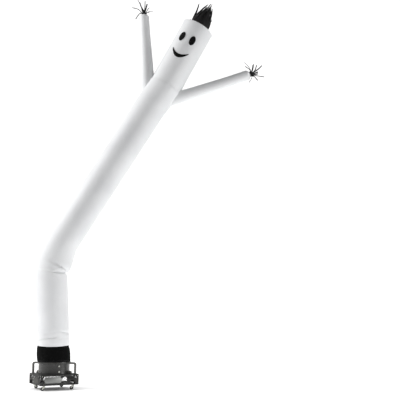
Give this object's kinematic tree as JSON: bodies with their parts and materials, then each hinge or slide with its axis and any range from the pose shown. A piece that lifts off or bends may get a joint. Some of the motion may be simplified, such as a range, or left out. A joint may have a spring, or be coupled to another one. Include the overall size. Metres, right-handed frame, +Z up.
{
  "type": "inflatable air dancer with its blower",
  "caption": "White cloth air dancer, blown up and leaning, with raised arms, strip hair and a plain face, on a wheeled drum blower.",
  "frame": {"origin": "on the floor, under the middle of the part's box", "axes": "+Z up, the face looks to -Y, and the dancer leans towards +X"},
  "size_m": [3.3914, 0.717, 5.7577],
  "materials": {
    "white_ripstop": "satin",
    "black_ripstop": "matte",
    "black_strips": "satin",
    "black_face_cloth": "matte",
    "charcoal_powder_coat": "textured matte",
    "bare_plate": "satin",
    "black_band": "ribbed",
    "black_wire": "satin",
    "grey_motor": "matte",
    "blue_grey_fan": "satin",
    "zinc": "zinc plated",
    "black_wheel": "matte"
  },
  "bodies": {
    "blower_and_dancer": {"trunk": "white_ripstop", "head": "white_ripstop", "head_cap": "white_ripstop", "arm_left": "white_ripstop", "arm_right": "white_ripstop", "blower_sleeve": "black_ripstop", "hair": "black_strips", "tassel_left": "black_strips", "tassel_right": "black_strips", "face_eye_left": "black_face_cloth", "face_eye_right": "black_face_cloth", "face_smile": "black_face_cloth", "blower_box": "charcoal_powder_coat", "drum": "charcoal_powder_coat", "drum_rim": "charcoal_powder_coat", "baffle_left": "charcoal_powder_coat", "baffle_back": "charcoal_powder_coat", "handle_left": "charcoal_powder_coat", "handle_right": "charcoal_powder_coat", "lug_left": "charcoal_powder_coat", "lug_right": "charcoal_powder_coat", "blank_plate": "bare_plate", "drum_band": "black_band", "guard": "black_wire", "motor": "grey_motor", "fan": "blue_grey_fan", "drum_bolt_front_low": "zinc", "drum_bolt_front_high": "zinc", "drum_bolt_right_low": "zinc", "drum_bolt_right_high": "zinc", "drum_bolt_back_low": "zinc", "drum_bolt_back_high": "zinc", "drum_bolt_left_low": "zinc", "drum_bolt_left_high": "zinc", "caster_plate_front": "zinc", "caster_plate_left": "zinc", "caster_plate_right": "zinc", "caster_plate_back": "zinc", "caster_nut_front": "zinc", "caster_nut_left": "zinc", "caster_nut_right": "zinc", "caster_nut_back": "zinc"},
    "caster_fork_front_body": {"caster_fork_front": "zinc"},
    "caster_wheel_front_body": {"caster_wheel_front": "black_wheel"},
    "caster_fork_left_body": {"caster_fork_left": "zinc"},
    "caster_wheel_left_body": {"caster_wheel_left": "black_wheel"},
    "caster_fork_right_body": {"caster_fork_right": "zinc"},
    "caster_wheel_right_body": {"caster_wheel_right": "black_wheel"},
    "caster_fork_back_body": {"caster_fork_back": "zinc"},
    "caster_wheel_back_body": {"caster_wheel_back": "black_wheel"}
  },
  "joints": [
    {"name": "swivel_front", "type": "hinge", "parent": "blower_and_dancer", "child": "caster_fork_front_body", "pos_m": [-1.4323, -0.2783, 0.06], "axis": [0, 0, 1], "continuous": true},
    {"name": "roll_front", "type": "hinge", "parent": "caster_fork_front_body", "child": "caster_wheel_front_body", "pos_m": [-1.45168, -0.28317, 0.025], "axis": [0.2436, -0.9699, 0], "continuous": true},
    {"name": "swivel_left", "type": "hinge", "parent": "blower_and_dancer", "child": "caster_fork_left_body", "pos_m": [-1.6153, 0.0953, 0.06], "axis": [0, 0, 1], "continuous": true},
    {"name": "roll_left", "type": "hinge", "parent": "caster_fork_left_body", "child": "caster_wheel_left_body", "pos_m": [-1.59535, 0.09671, 0.025], "axis": [-0.0715, 0.9974, 0], "continuous": true},
    {"name": "swivel_right", "type": "hinge", "parent": "blower_and_dancer", "child": "caster_fork_right_body", "pos_m": [-1.0587, -0.0953, 0.06], "axis": [0, 0, 1], "continuous": true},
    {"name": "roll_right", "type": "hinge", "parent": "caster_fork_right_body", "child": "caster_wheel_right_body", "pos_m": [-1.07794, -0.0898, 0.025], "axis": [-0.274, -0.9617, 0], "continuous": true},
    {"name": "swivel_back", "type": "hinge", "parent": "blower_and_dancer", "child": "caster_fork_back_body", "pos_m": [-1.2417, 0.2783, 0.06], "axis": [0, 0, 1], "continuous": true},
    {"name": "roll_back", "type": "hinge", "parent": "caster_fork_back_body", "child": "caster_wheel_back_body", "pos_m": [-1.26167, 0.27966, 0.025], "axis": [-0.068, -0.9977, 0], "continuous": true}
  ]
}
